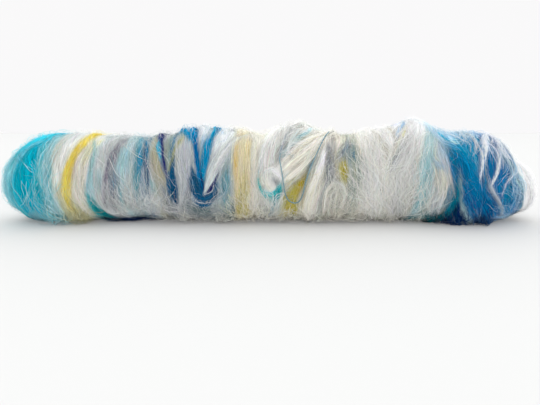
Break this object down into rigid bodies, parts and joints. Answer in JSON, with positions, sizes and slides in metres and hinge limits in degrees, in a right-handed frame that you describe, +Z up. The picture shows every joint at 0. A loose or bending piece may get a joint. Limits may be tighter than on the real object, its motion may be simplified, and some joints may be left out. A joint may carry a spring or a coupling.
{
  "type": "carded art batt",
  "caption": "Carded fibre batt for spinning or felting: one soft web rolled into a lumpy roll with rounded spiral ends, colour bands round it and a loose add-in thread.",
  "frame": {"origin": "middle of the roll's pressed foot, on the surface that it lies on", "axes": "+X along the roll towards its blue end, +Y from its front to its back, +Z up"},
  "size_m": [0.305, 0.0584, 0.0579],
  "materials": {
    "fibre": "soft matte fibre with a faint sheen, white with teal, blue, mustard and grey bands",
    "thread": "matte twisted thread"
  },
  "bodies": {
    "root": {"batt": "fibre", "thread": "thread"}
  },
  "joints": []
}
